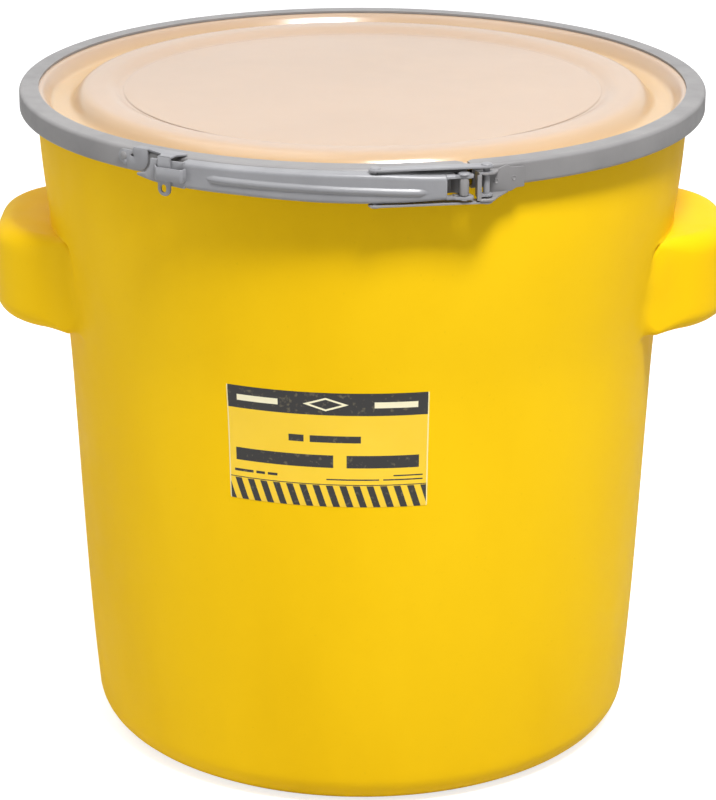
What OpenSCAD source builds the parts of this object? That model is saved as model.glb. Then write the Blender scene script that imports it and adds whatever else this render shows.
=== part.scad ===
// Open-head salvage drum with a lever-lock closing ring.
// Origin: bottom centre of the drum. +Z up, front (label and lever) towards -Y. Millimetres.
// Azimuths are in degrees from the front (-Y), positive towards +X.

/* [Node to draw] */
// which sub-part to draw

/* [Drum] */
// height of the closed drum, floor to top of the closing ring
overall_h = 524; // [510:1:540]
// outside radius of the base
base_r = 217.3; // [212:0.1:220]
// radius of the rounded base corner
base_corner = 27; // [20:1:32]
// wall thickness of the moulded body
wall = 4; // [3:0.5:5]
// outside radius of the rim bead that the ring hooks under
rim_r = 262; // [261:0.5:262.5]
// height of the rim bead
rim_bead = 8; // [7:0.5:9]

/* [Grips] */
// distance from the axis to the outer face of each side grip
grip_reach = 288.5; // [282:0.5:296]
// underside of the grips above the floor
grip_low = 344; // [335:1:350]
// top of the grips above the floor
grip_high = 419; // [412:1:424]
// half width of a grip
grip_half = 87; // [80:1:92]
// plan radius of the grip's outer corners
grip_corner = 64; // [50:1:70]

/* [Lid] */
// outside radius of the lid flange
lid_r = 262.5; // [261:0.5:263]
// thickness of the lid sheet
lid_t = 3; // [2.5:0.5:3.5]
// radius of the sunken centre disc
disc_r = 185.5; // [180:0.5:190]
// radius of the raised ridge's middle
ridge_r = 206; // [202:0.5:208]

/* [Closing ring] */
// outside radius of the closing ring
ring_r = 267; // [266.5:0.1:267.5]
// height of the closing ring
ring_h = 17.5; // [17:0.5:18]
// inside radius of the ring's top flange
ring_lip = 252; // [250:0.5:254]
// inside radius of the ring's bottom flange
ring_hook = 255.4; // [255:0.1:257]
// sheet thickness of the ring
ring_t = 1.6; // [1.4:0.1:1.8]

/* [Lever] */
// width of the lever channel, top to bottom
lever_h = 22.2; // [20:0.2:22.4]
// outside radius of the lever's web
lever_r = 277.4; // [277:0.1:278]
// sheet thickness of the lever and links
plate_t = 1.6; // [1.4:0.1:1.6]

/* [Label] */
// height of the label
label_h = 91; // [80:1:95]

/* [Hidden] */
$fn = 96;

ring_z = overall_h - ring_h;          // underside of the ring
flange_z = overall_h - ring_t - 0.4;  // top of the lid flange, just under the ring
gasket_h = 2.3;                       // seated gasket
rim_z = flange_z - lid_t - gasket_h - 0.1;  // top of the drum's rim
bead_z = rim_z - rim_bead;            // underside of the rim bead
mouth_r = 250;                        // inside radius of the drum's mouth
split_a = 16.45;                      // azimuth of the ring's split
split_gap = 0.45;                     // half of the split, degrees
seam = 0.02;                          // half gap between ring segments, degrees
lever_z = 501;                        // underside of the lever
lever_top = lever_z + lever_h;
web_r = lever_r - plate_t;            // inside of the lever's web
foot_r = 268.2;                       // inner edge of the lever's flanges
p1_a = 1.9;   p1_r = 273.2;           // link to lever rivets
p2_a = 15;    p2_r = 276.2;           // lever pivot
p3_a = 18.5;  p3_r = 275;             // link to right lug pin
link_up = overall_h + 0.3;            // underside of the top link
link_dn = lever_z - 0.8 - plate_t;    // underside of the bottom link
link_w = 4.8;                         // half width of a link
latch_a = -39.6; latch_z = 517;       // latch rivet
arm_a = -30.2;                        // azimuth of the latch arm
eye_z = 502;                          // centre of the latch arm's eye
seal_r = 2.6;                         // radius of the hole in the eye

// body wall, outside, from base corner to rim
wall_pts = [[base_r, base_corner], [base_r + 17.6, 350], [248.3, 436], [252, 475], [254, bead_z]];

yellow = [0.93, 0.74, 0.05];
cream = [0.93, 0.87, 0.80];
grey = [0.55, 0.56, 0.60];
steel = [0.62, 0.63, 0.66];
dark = [0.10, 0.10, 0.10];

function pt(a, r) = [r * sin(a), -r * cos(a)];

// turns a section (r, z) about the axis from azimuth a0 to a1
module arc(a0, a1) {
  rotate([0, 0, a0 - 90]) rotate_extrude(angle = a1 - a0) children();
}

// sheet of a section between two radii and two heights
module band(a0, a1, r0, r1, z0, z1) {
  arc(a0, a1) translate([r0, z0]) square([r1 - r0, z1 - z0]);
}

// pushes an outline (across, up) outwards through the side of the drum at azimuth a
module through(a, r0, depth) {
  rotate([0, 0, a]) translate([0, -r0, 0]) rotate([90, 0, 0]) linear_extrude(depth) children();
}

// places a child drawn at the origin on the vertical through p at height z
module at(a, r, z) {
  translate([r * sin(a), -r * cos(a), z]) rotate([0, 0, a]) children();
}

// ---- drum ----
module body_half(inset, floor_z) {
  polygon(concat(
    [[0, floor_z], [base_r - base_corner, floor_z],
     [base_r - base_corner + (base_corner - inset) * sin(22.5),
      base_corner - (base_corner - inset) * cos(22.5)],
     [base_r - base_corner + (base_corner - inset) * sin(45),
      base_corner - (base_corner - inset) * cos(45)],
     [base_r - base_corner + (base_corner - inset) * sin(67.5),
      base_corner - (base_corner - inset) * cos(67.5)]],
    [for (p = wall_pts) [p[0] - inset, p[1]]],
    inset == 0 ? [[rim_r, bead_z], [rim_r, rim_z - 1.5], [rim_r - 1.5, rim_z], [0, rim_z]]
               : [[mouth_r, bead_z + 1], [mouth_r, rim_z + 20], [0, rim_z + 20]]));
}

module grip_plan(o) {
  cx = grip_reach - grip_corner;
  cy = grip_half - grip_corner;
  // outer block with round corners
  translate([190, -cy]) square([grip_reach - o - 190, 2 * cy]);
  translate([190, -grip_half + o]) square([cx - 190, 2 * (grip_half - o)]);
  for (s = [-1, 1]) {
    translate([cx, s * cy]) circle(grip_corner - o);
    // fillet that runs the grip's side into the drum's wall
    if (o == 0) difference() {
      polygon([[190, 0], [cx, s * cy], [246.7, s * 83.0], [272.6, s * 153.0], [207.6, s * 116.5],
               [184.9, s * 103.7]]);
      translate([272.6, s * 153.0]) circle(74.6);
    }
  }
}

module grip_side(o) {
  e = 15 - o;
  translate([150, grip_low + o]) square([grip_reach - 15 - 150, grip_high - grip_low - 2 * o]);
  translate([150, grip_low + 15]) square([grip_reach - o - 150, grip_high - grip_low - 30]);
  for (z = [grip_low + 15, grip_high - 15]) translate([grip_reach - 15, z]) circle(e);
}

module grip(o) {
  intersection() {
    translate([0, 0, grip_low - 5]) linear_extrude(grip_high - grip_low + 10) grip_plan(o);
    translate([0, 150, 0]) rotate([90, 0, 0]) linear_extrude(300) grip_side(o);
  }
}

module drum_body() {
  color(yellow) difference() {
    union() {
      rotate_extrude() body_half(0, 0);
      grip(0);
      rotate([0, 0, 180]) grip(0);
    }
    rotate_extrude() body_half(wall, wall);
    grip(wall);
    rotate([0, 0, 180]) grip(wall);
  }
}

// ---- lid ----
module lid_section() {
  t = lid_t;
  f = flange_z;
  low = f - 11.5;
  polygon([[lid_r, f - t], [lid_r, f], [251.6, f], [249.3, f - 0.8], [242, low + 1], [239, low],
           [228, low - 0.4], [223, low + 0.6], [ridge_r + 9, f - 0.6], [ridge_r + 4, f + 0.8],
           [ridge_r - 4, f + 0.8], [ridge_r - 9, f + 0.1], [disc_r, f - 3.4], [90, f - 2.2],
           [0, f - 1.8], [0, f - 1.8 - t], [90, f - 2.2 - t], [disc_r + 0.5, f - 3.4 - t],
           [ridge_r - 7, f - t], [ridge_r + 3, f + 0.8 - t], [ridge_r + 7, f - 0.9 - t],
           [221, low - 2.4], [228, low - 0.4 - t], [241, low - t], [244.6, low - 1.4],
           [249.4, f - t - 2.6], [251.6, f - t]]);
}

module lid() {
  color(cream) rotate_extrude() lid_section();
}

module lid_gasket() {
  color(dark) rotate_extrude()
    translate([254.6, flange_z - lid_t - gasket_h]) square([5.8, gasket_h + 0.05]);
}

// ---- closing ring ----
module ring_section() {
  h = overall_h;
  t = ring_t;
  r = ring_r;
  z = ring_z;
  polygon([[ring_lip, h], [r - 2.6, h], [r - 0.8, h - 0.8], [r, h - 2.6], [r, z + 2.6],
           [r - 0.8, z + 0.8], [r - 2.6, z], [ring_hook, z], [ring_hook, z + t], [r - 2.9, z + t],
           [r - t - 0.4, z + t + 0.4], [r - t, z + 2.9], [r - t, h - 2.9],
           [r - t - 0.4, h - t - 0.4], [r - 2.9, h - t], [ring_lip, h - t]]);
}

module ring_segment(a0, a1) {
  color(grey) arc(a0, a1) ring_section();
}

module ring_back() { ring_segment(split_a + 144 + seam, split_a + 216 - seam); }
module ring_right_1() { ring_segment(split_a + 72 + seam, split_a + 144 - seam); }
module ring_left_1() { ring_segment(split_a + 216 + seam, split_a + 288 - seam); }

module ring_right_2() {
  color(grey) difference() {
    arc(split_a + split_gap, split_a + 72 - seam) ring_section();
    // notched corner of the top flange at the split
    translate([0, 0, overall_h - 4]) linear_extrude(8)
      polygon([pt(split_a - 1, 250), pt(split_a + 1.3, 250), pt(split_a + 0.4, 256.5)]);
  }
}

module ring_left_2() {
  color(grey) difference() {
    arc(split_a - 72 + seam, split_a - split_gap) ring_section();
    translate([0, 0, overall_h - 4]) linear_extrude(8)
      polygon([pt(split_a + 1, 250), pt(split_a - 1.3, 250), pt(split_a - 0.4, 256.5)]);
  }
}

// ---- lugs welded to the ring's ends ----
module left_lug() {
  color(grey) difference() {
    union() {
      band(9.4, 15.3, ring_r - 0.2, ring_r + plate_t, 505.5, 518.5);
      translate([0, 0, 505.5]) linear_extrude(13)
        polygon([pt(13.1, ring_r + 0.8), pt(15.2, ring_r + 0.8), pt(15.6, p2_r - 1.5),
                 pt(14.3, p2_r - 1.2)]);
      at(p2_a, p2_r, 505.5) cylinder(r = 4, h = 13);
    }
    at(p2_a, p2_r, 500) cylinder(r = 2.56, h = 30);
  }
}

// hook that seats the link pin: closed towards the drum and to the right, open outwards
module hook_plan() {
  difference() {
    union() {
      circle(6.4);
      polygon([[-2.5, 5.6], [-2.5, 7.4], [9.5, 8.0], [14, 7.2], [14, 5.6], [6, -2]]);
    }
    circle(2.8);
    polygon([[0, 0], [2.8, 0], [2.8, -12], [-12, -12], [-12, -8], [-1.98, 1.98]]);
  }
}

module right_lug() {
  z0 = lever_z + 0.6;
  z1 = overall_h - 0.8;
  color(grey) difference() {
    union() {
      intersection() {
        band(17.6, 26.2, ring_r - 0.2, ring_r + plate_t, z0 - 5, overall_h + 5);
        through(22, ring_r - 8, 20)
          polygon([[-20, z0], [-10, z0], [1, 506.6], [18, 507.6], [18, 522.4], [6.5, 522.6],
                   [2.4, z1 + 0.9], [-5, z1], [-20, z1]]);
      }
      at(p3_a, p3_r, z0) linear_extrude(plate_t) hook_plan();
      at(p3_a, p3_r, z1 - plate_t) linear_extrude(plate_t) hook_plan();
    }
    // spot-weld dimples
    through(20.6, ring_r + plate_t - 0.5, 5) translate([0, 514.5]) circle(1.5, $fn = 32);
    through(24.1, ring_r + plate_t - 0.5, 5) translate([0, 514.5]) circle(1.5, $fn = 32);
  }
}

// ---- lever ----
// what is cut from the channel's free end, leaving a rounded finger lobe of the web
module lobe_cut() {
  polygon([[-30, 530], [-30, 490], [17.6, 490], [17.6, 502.8], [-4, 502.8], [-11, 503.6],
           [-14.6, 506], [-15.6, 510], [-14.4, 513.4], [-9, 516], [-3, 517.5], [17.6, 517.6],
           [17.6, 530]]);
}

module lever() {
  zt = lever_top - plate_t;
  zb = lever_z + plate_t;
  color(steel) difference() {
    union() {
      // channel, open towards the drum
      arc(-35, 14.6)
        polygon([[foot_r, lever_z], [lever_r, lever_z], [lever_r, lever_top], [foot_r, lever_top],
                 [foot_r, zt], [web_r, zt], [web_r, zb], [foot_r, zb]]);
      // pivot ears
      for (z = [lever_z, zt]) at(p2_a, p2_r, z) cylinder(r = 6.3, h = plate_t);
      // strap pressed outwards from the web
      difference() {
        band(-31.9, -26.2, lever_r - 0.7, 283.4, 508, 517);
        band(-31.55, -26.55, lever_r - 2, 282, 505, 520);
      }
      // stiffening rib
      arc(-24, 9) polygon([[lever_r - 0.3, 507.5], [lever_r + 1.5, 509], [lever_r + 1.5, 513],
                           [lever_r - 0.3, 514.5]]);
    }
    through(-31, foot_r - 8, 17) lobe_cut();
    // window at the pivot
    through(12.5, foot_r - 4, 20) translate([0, zb + 2.2]) square([20, zt - zb - 4.4]);
    at(p1_a, p1_r, lever_z - 5) cylinder(r = 2.06, h = lever_h + 10);
    at(p2_a, p2_r, lever_z - 5) cylinder(r = 2.48, h = lever_h + 10);
  }
}

module lever_pivot_pin() {
  color(steel) at(p2_a, p2_r, 0) {
    translate([0, 0, lever_z - 0.6]) cylinder(r = 2.5, h = lever_h + 0.9);
    translate([0, 0, lever_top]) cylinder(r = 4.4, h = 0.3);
    translate([0, 0, lever_top + 0.3]) cylinder(r1 = 4.4, r2 = 3.4, h = 0.3);
    translate([0, 0, lever_z - 0.6]) cylinder(r = 3.6, h = 0.6);
  }
}

// ---- links ----
module link_plate() {
  a = pt(p1_a, p1_r);
  b = pt(p3_a, p3_r);
  d = (b - a) / norm(b - a);
  n = [-d[1], d[0]] * (link_w - 0.15);
  color(steel) difference() {
    union() {
      linear_extrude(plate_t) polygon([a + n, b + n, b - n, a - n]);
      translate(a) cylinder(r = link_w, h = plate_t);
      translate(b) cylinder(r = link_w, h = plate_t);
    }
    translate([a[0], a[1], -1]) cylinder(r = 1.98, h = plate_t + 2);
    translate([b[0], b[1], -1]) cylinder(r = 2.38, h = plate_t + 2);
  }
}

module link_top() { translate([0, 0, link_up]) link_plate(); }
module link_bottom() { translate([0, 0, link_dn]) link_plate(); }

module link_rivets() {
  color(steel) at(p1_a, p1_r, 0) {
    translate([0, 0, lever_top - plate_t - 1]) cylinder(r = 2, h = link_up - lever_top + 2 * plate_t + 1.4);
    translate([0, 0, link_up + plate_t]) cylinder(r = 4, h = 0.7);
    translate([0, 0, link_up + plate_t + 0.7]) cylinder(r1 = 4, r2 = 2.4, h = 0.7);
    translate([0, 0, lever_top - plate_t - 1.2]) cylinder(r = 2.3, h = 1);
    translate([0, 0, link_dn - 0.6]) cylinder(r = 2, h = lever_z + plate_t - link_dn + 1.4);
    translate([0, 0, link_dn - 1]) cylinder(r = 3.8, h = 1);
    translate([0, 0, lever_z + plate_t + 0.2]) cylinder(r = 2.3, h = 1);
  }
}

module link_pin() {
  color(steel) at(p3_a, p3_r, 0) {
    translate([0, 0, link_dn - 0.6]) cylinder(r = 2.4, h = link_up + plate_t - link_dn + 1.2);
    translate([0, 0, link_up + plate_t]) cylinder(r = 4, h = 0.7);
    translate([0, 0, link_up + plate_t + 0.7]) cylinder(r1 = 4, r2 = 2.4, h = 0.7);
    translate([0, 0, link_dn - 1]) cylinder(r = 3.8, h = 1);
  }
}

// bent spacer that holds the pin between the lug's ears
module link_spacer() {
  z0 = lever_z + 2.7;
  z1 = overall_h - 2.8;
  color(steel) difference() {
    at(p3_a, p3_r, 0) {
      for (z = [z0, z1 - 1.4]) translate([0, 0, z]) {
        cylinder(r = 4.6, h = 1.4);
        translate([-6.8, -4, 0]) cube([6.8, 8, 1.4]);
      }
      translate([-6.8, -4, z0]) cube([1.4, 8, z1 - z0]);
    }
    at(p3_a, p3_r, z0 - 5) cylinder(r = 2.38, h = 40);
  }
}

// ---- latch ----
// what is cut from the latch's flat to leave its outline
module flat_cut() {
  difference() {
    translate([-30, 490]) square([60, 45]);
    translate([-7.5, latch_z]) circle(5.6);
    polygon([[-8, 513.2], [-5.5, 507], [7, 505.4], [12, 507.2], [14.6, 511.4], [15.8, 516.5],
             [25, 516.5], [25, 533], [-2, 533], [-3, 522.3], [-8.5, 521.6]]);
  }
}

// what is cut from the latch's arm to leave its outline
module arm_cut() {
  difference() {
    translate([-40, 480]) square([60, 60]);
    translate([0, eye_z]) circle(4.9);
    polygon([[-4.5, eye_z], [4.5, eye_z], [4.5, 540], [-30, 540], [-30, 518.8], [-6, 518.8],
             [-4.5, 517.3]]);
  }
}

module latch_plate() {
  r0 = ring_r + 1.2;
  r1 = r0 + 1.5;
  q0 = lever_r + 0.7;
  q1 = q0 + 1.5;
  color(steel) difference() {
    union() {
      difference() {
        band(-42, -34.6, r0, r1, 500, 523.6);
        through(-38, ring_r - 8, 20) flat_cut();
      }
      // step out over the lever, then the arm down to the eye
      band(-34.9, -34.55, r0 + 0.2, q1 - 0.2, 518.8, 523.6);
      difference() {
        band(-34.8, -28.3, q0, q1, 490, 523.6);
        through(arm_a, ring_r - 8, 30) arm_cut();
      }
    }
    through(latch_a, ring_r - 8, 20) translate([0, latch_z]) circle(2.46);
    through(arm_a, ring_r - 8, 30) translate([0, eye_z]) circle(seal_r);
    through(-37.6, ring_r - 8, 20) translate([-1.6, 516.8]) square([3.4, 1.8]);
  }
}

module latch_rivet() {
  color(steel) rotate([0, 0, latch_a]) translate([0, 0, latch_z]) rotate([90, 0, 0]) {
    translate([0, 0, ring_r - 1.2]) cylinder(r = 2.4, h = 5);
    translate([0, 0, ring_r + 3]) cylinder(r = 3.9, h = 0.8);
    translate([0, 0, ring_r + 3.8]) cylinder(r1 = 3.9, r2 = 2.2, h = 0.8);
  }
}

// ---- label ----
module label() {
  z0 = 255.5;
  slope = 17.6 / (350 - base_corner);
  r0 = base_r + (z0 - base_corner) * slope;
  r1 = r0 + label_h * slope;
  color(dark) arc(-25, 12.2)
    polygon([[r0 - 0.1, z0], [r0 + 0.4, z0], [r1 + 0.4, z0 + label_h], [r1 - 0.1, z0 + label_h]]);
}

drum_body();
lid();
lid_gasket();
ring_back();
ring_left_1();
ring_left_2();
ring_right_1();
ring_right_2();
left_lug();
right_lug();
lever();
lever_pivot_pin();
link_top();
link_bottom();
link_rivets();
link_pin();
link_spacer();
latch_plate();
latch_rivet();
label();
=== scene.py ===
from math import atan2, cos, degrees, hypot, pi, radians, sin, sqrt, tan

import bmesh
import bpy
from mathutils import Matrix, Vector


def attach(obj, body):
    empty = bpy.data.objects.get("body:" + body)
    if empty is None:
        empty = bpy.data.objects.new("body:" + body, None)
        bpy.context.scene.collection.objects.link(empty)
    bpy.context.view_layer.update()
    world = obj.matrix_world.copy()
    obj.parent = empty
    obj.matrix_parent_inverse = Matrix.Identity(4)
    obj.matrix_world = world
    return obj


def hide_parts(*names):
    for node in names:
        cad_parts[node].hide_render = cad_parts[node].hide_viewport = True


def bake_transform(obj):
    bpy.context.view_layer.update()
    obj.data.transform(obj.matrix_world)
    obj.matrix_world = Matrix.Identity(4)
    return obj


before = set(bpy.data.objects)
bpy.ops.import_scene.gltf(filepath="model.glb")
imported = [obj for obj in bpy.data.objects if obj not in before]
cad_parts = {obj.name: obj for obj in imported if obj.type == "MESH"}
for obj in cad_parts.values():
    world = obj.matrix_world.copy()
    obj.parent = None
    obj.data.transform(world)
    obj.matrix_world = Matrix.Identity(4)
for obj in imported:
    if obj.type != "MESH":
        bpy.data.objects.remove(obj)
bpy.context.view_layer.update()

MM = 0.001
scene = bpy.context.scene


# ---------------------------------------------------------------- mesh helpers
def smoothstep(x, a, b):
    """0 below a, 1 above b and an S curve between."""
    t = min(max((x - a) / (b - a), 0.0), 1.0)
    return t * t * (3 - 2 * t)


def lerp(a, b, t):
    return a + (b - a) * t


def spread(a, b, n):
    """n + 1 evenly spaced numbers from a to b."""
    return [a + (b - a) * i / n for i in range(n + 1)]


def table(x, pairs):
    """Straight lines through (x, value) pairs, flat outside them."""
    if x <= pairs[0][0]:
        return pairs[0][1]
    for (x0, y0), (x1, y1) in zip(pairs, pairs[1:]):
        if x <= x1:
            return lerp(y0, y1, (x - x0) / (x1 - x0))
    return pairs[-1][1]


def spline(pairs, n):
    """A Catmull-Rom curve through (r, z) points, n steps each."""
    out = []
    for i in range(len(pairs) - 1):
        p0, p1, p2, p3 = (Vector(pairs[min(max(i + k, 0), len(pairs) - 1)]) for k in (-1, 0, 1, 2))
        for j in range(n):
            t = j / n
            out.append(0.5 * (2 * p1 + (p2 - p0) * t + (2 * p0 - 5 * p1 + 4 * p2 - p3) * t ** 2
                              + (3 * p1 - p0 - 3 * p2 + p3) * t ** 3))
    return [tuple(p) for p in out] + [tuple(pairs[-1])]


def rounded(points, radius, steps=5, closed=True):
    """The outline with each corner turned into an arc; radius is one number or one per corner."""
    out = []
    count = len(points)
    for i, p in enumerate(points):
        r = radius[i] if isinstance(radius, (list, tuple)) else radius
        if not closed and i in (0, count - 1) or r <= 0:
            out.append(tuple(p))
            continue
        p = Vector(p)
        a = Vector(points[i - 1]) - p
        b = Vector(points[(i + 1) % count]) - p
        half = a.angle(b) / 2
        if half > radians(89):
            out.append(tuple(p))
            continue
        cut = min(r / tan(half), 0.49 * a.length, 0.49 * b.length)
        r = cut * tan(half)
        middle = p + (a.normalized() + b.normalized()).normalized() * (r / sin(half))
        start, end = p + a.normalized() * cut - middle, p + b.normalized() * cut - middle
        turn = start.angle(end)
        for k in range(steps + 1):
            t = k / steps
            d = (start * sin((1 - t) * turn) + end * sin(t * turn)) / sin(turn)
            out.append(tuple(middle + d))
    return out


def circle(x, y, r, n=32):
    """A ring of n points about (x, y)."""
    return [(x + r * cos(2 * pi * i / n), y + r * sin(2 * pi * i / n)) for i in range(n)]


def around(azimuth, r, z):
    """Metres, from degrees east of the front and millimetres."""
    a = radians(azimuth)
    return Vector((r * sin(a), -r * cos(a), z)) * MM


def finish_mesh(name, bm, material, sharp=35):
    """Turns bm into an object, shaded smooth but for edges sharper than sharp degrees."""
    bmesh.ops.remove_doubles(bm, verts=bm.verts, dist=1e-7)
    bmesh.ops.recalc_face_normals(bm, faces=bm.faces)
    mesh = bpy.data.meshes.new(name)
    bm.to_mesh(mesh)
    bm.free()
    mesh.materials.append(material)
    mesh.polygons.foreach_set("use_smooth", [True] * len(mesh.polygons))
    mesh.set_sharp_from_angle(angle=radians(sharp))
    obj = bpy.data.objects.new(name, mesh)
    scene.collection.objects.link(obj)
    return obj


def add_grid(bm, rings, close_ring=False, close_path=False, caps=False):
    """Quads between successive rings of points."""
    rows = [[bm.verts.new(p) for p in ring] for ring in rings]
    n = len(rows[0])
    for a, b in zip(rows, rows[1:] + rows[:1] if close_path else rows[1:]):
        for i in range(n if close_ring else n - 1):
            j = (i + 1) % n
            bm.faces.new((a[i], a[j], b[j], b[i]))
    if caps:
        bm.faces.new(rows[0])
        bm.faces.new(rows[-1][::-1])
    return rows


def sheet_loop(path, t):
    """The closed outline of bent sheet of thickness t whose middle follows path."""
    left, right = [], []
    for i, p in enumerate(path):
        a = Vector(path[max(i - 1, 0)])
        b = Vector(path[min(i + 1, len(path) - 1)])
        d = (b - a).normalized()
        n = Vector((-d.y, d.x)) * t / 2
        left.append(tuple(Vector(p) + n))
        right.append(tuple(Vector(p) - n))
    return left + right[::-1]


def signed_area(loop):
    """Above 0 when the loop runs anticlockwise."""
    return sum(a[0] * b[1] - b[0] * a[1] for a, b in zip(loop, loop[1:] + loop[:1])) / 2


def inset(loop, d):
    """An anticlockwise loop moved inwards by d, or a clockwise hole's loop outwards."""
    out = []
    for i, p in enumerate(loop):
        e0 = (Vector(p) - Vector(loop[i - 1])).normalized()
        e1 = (Vector(loop[(i + 1) % len(loop)]) - Vector(p)).normalized()
        n0, n1 = Vector((-e0.y, e0.x)), Vector((-e1.y, e1.x))
        out.append(tuple(Vector(p) + (n0 + n1) / max(1 + n0.dot(n1), 0.4) * d))
    return out


def add_plate(bm, outline, holes, low, high, place, edge=0.35, cut=None):
    """A plate between two levels with softened edges; place turns (x, y, level) into a point."""
    loops = [outline if signed_area(outline) > 0 else outline[::-1]]
    loops += [h if signed_area(h) < 0 else h[::-1] for h in holes]
    soft = edge * 0.293
    levels = [(edge, low), (soft, low + soft), (0, low + edge),
              (0, high - edge), (soft, high - soft), (edge, high)]
    part = bmesh.new()
    ends = ([], [])
    for loop in loops:
        rows = []
        for d, level in levels:
            rows.append([part.verts.new((x, y, level)) for x, y in inset(loop, d)])
        n = len(loop)
        for a, b in zip(rows, rows[1:]):
            for i in range(n):
                part.faces.new((a[i], a[(i + 1) % n], b[(i + 1) % n], b[i]))
        for row, found in ((rows[0], ends[0]), (rows[-1], ends[1])):
            found.extend(part.edges.get((row[i], row[(i + 1) % n])) for i in range(n))
    for edges, up in ((ends[0], -1), (ends[1], 1)):
        bmesh.ops.triangle_fill(part, use_beauty=True, edges=edges, normal=(0, 0, up))
    if cut:
        xs = [v.co.x for v in part.verts]
        for k in range(int((max(xs) - min(xs)) / cut) + 1):
            bmesh.ops.bisect_plane(part, geom=part.verts[:] + part.edges[:] + part.faces[:],
                                   plane_co=(min(xs) + k * cut, 0, 0), plane_no=(1, 0, 0))
    for v in part.verts:
        v.co = place(v.co.x, v.co.y, v.co.z)
    mesh = bpy.data.meshes.new("part")
    part.to_mesh(mesh)
    part.free()
    bm.from_mesh(mesh)
    bpy.data.meshes.remove(mesh)


def wrapped(azimuth, r):
    """Places a plate drawn across (x) and up (y) on a cylinder of radius r about the drum's axis."""
    return lambda x, y, level: around(azimuth + degrees(x / r), level, y)


def level_plate(x, y, level):
    """Places a plate drawn in plan."""
    return Vector((x, y, level)) * MM


def add_turned(bm, centre, profile, n=32):
    """A turned piece about the vertical through centre; profile is (r, z) pairs from axis to axis."""
    x, y = centre
    rings = []
    for i in range(n):
        a = 2 * pi * i / n
        rings.append([Vector((x + r * cos(a), y + r * sin(a), z)) * MM for r, z in profile])
    add_grid(bm, rings, close_path=True)


# ---------------------------------------------------------------- materials
def nodes_of(name):
    m = bpy.data.materials.new(name)
    m.use_nodes = True
    tree = m.node_tree
    tree.nodes.clear()
    out = tree.nodes.new("ShaderNodeOutputMaterial")
    shader = tree.nodes.new("ShaderNodeBsdfPrincipled")
    tree.links.new(shader.outputs[0], out.inputs[0])
    return m, tree, shader


def noise(tree, scale, detail=3, stretch=(1, 1, 1), rough=0.5):
    coords = tree.nodes.new("ShaderNodeTexCoord")
    mapping = tree.nodes.new("ShaderNodeMapping")
    mapping.inputs["Scale"].default_value = stretch
    tex = tree.nodes.new("ShaderNodeTexNoise")
    tex.inputs["Scale"].default_value = scale
    tex.inputs["Detail"].default_value = detail
    tex.inputs["Roughness"].default_value = rough
    tree.links.new(coords.outputs["Object"], mapping.inputs[0])
    tree.links.new(mapping.outputs[0], tex.inputs["Vector"])
    return tex.outputs["Fac"]


def ramp(tree, source, stops):
    r = tree.nodes.new("ShaderNodeValToRGB")
    tree.links.new(source, r.inputs[0])
    elements = r.color_ramp.elements
    while len(elements) < len(stops):
        elements.new(0.5)
    for e, (at, colour) in zip(elements, stops):
        e.position = at
        e.color = (*colour, 1) if isinstance(colour, tuple) else (colour, colour, colour, 1)
    return r.outputs[0]


def mix(tree, fac, a, b, blend="MIX"):
    m = tree.nodes.new("ShaderNodeMix")
    m.data_type = "RGBA"
    m.blend_type = blend
    for socket, value in ((m.inputs["Factor"], fac), (m.inputs["A"], a), (m.inputs["B"], b)):
        if isinstance(value, (int, float)):
            socket.default_value = value
        elif isinstance(value, tuple):
            socket.default_value = (*value, 1)
        else:
            tree.links.new(value, socket)
    return m.outputs["Result"]


def bump(tree, shader, heights):
    """Chains bump nodes: heights are (source, strength, distance in metres)."""
    last = None
    for source, strength, distance in heights:
        b = tree.nodes.new("ShaderNodeBump")
        b.inputs["Strength"].default_value = strength
        b.inputs["Distance"].default_value = distance
        tree.links.new(source, b.inputs["Height"])
        if last is not None:
            tree.links.new(last, b.inputs["Normal"])
        last = b.outputs[0]
    tree.links.new(last, shader.inputs["Normal"])


def coloured(name):
    """The drum's yellow polyethylene: soft colour drift, faint flow streaks, a satin grain."""
    m, tree, shader = nodes_of(name)
    shader.inputs["Specular IOR Level"].default_value = 0.07
    flow = (1, 1, 0.35)
    colour = ramp(tree, noise(tree, 5.5, 4, flow), [(0.3, (0.80, 0.485, 0.002)),
                                                    (0.5, (0.86, 0.53, 0.003)),
                                                    (0.72, (0.90, 0.57, 0.005))])
    specks = ramp(tree, noise(tree, 420, 2), [(0.2, 0.94), (0.33, 1.0)])
    colour = mix(tree, 1.0, colour, specks, "MULTIPLY")
    tree.links.new(colour, shader.inputs["Base Color"])
    tree.links.new(ramp(tree, noise(tree, 38, 5), [(0.25, 0.43), (0.75, 0.55)]),
                   shader.inputs["Roughness"])
    bump(tree, shader, [(noise(tree, 14, 2, flow), 0.25, 0.0006),
                        (noise(tree, 900, 3), 0.10, 0.00025)])
    return m


def painted(name, low, high, chip, rough=0.42):
    """Grey enamel on steel: orange peel, slight tone drift, rare scuffs showing paler."""
    m, tree, shader = nodes_of(name)
    tone = ramp(tree, noise(tree, 24, 4), [(0.3, low), (0.7, high)])
    scuffs = ramp(tree, noise(tree, 130, 8, (1, 1, 3), 0.72), [(0.665, 0.0), (0.70, 1.0)])
    place = ramp(tree, noise(tree, 9, 2), [(0.5, 0.0), (0.62, 0.75)])
    worn = mix(tree, 1.0, scuffs, place, "MULTIPLY")
    tree.links.new(mix(tree, worn, tone, chip), shader.inputs["Base Color"])
    tree.links.new(ramp(tree, noise(tree, 60, 4), [(0.25, rough - 0.08), (0.75, rough + 0.1)]),
                   shader.inputs["Roughness"])
    shader.inputs["Specular IOR Level"].default_value = 0.55
    bump(tree, shader, [(noise(tree, 480, 2), 0.12, 0.0003), (noise(tree, 60, 3), 0.1, 0.0005)])
    return m


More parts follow.
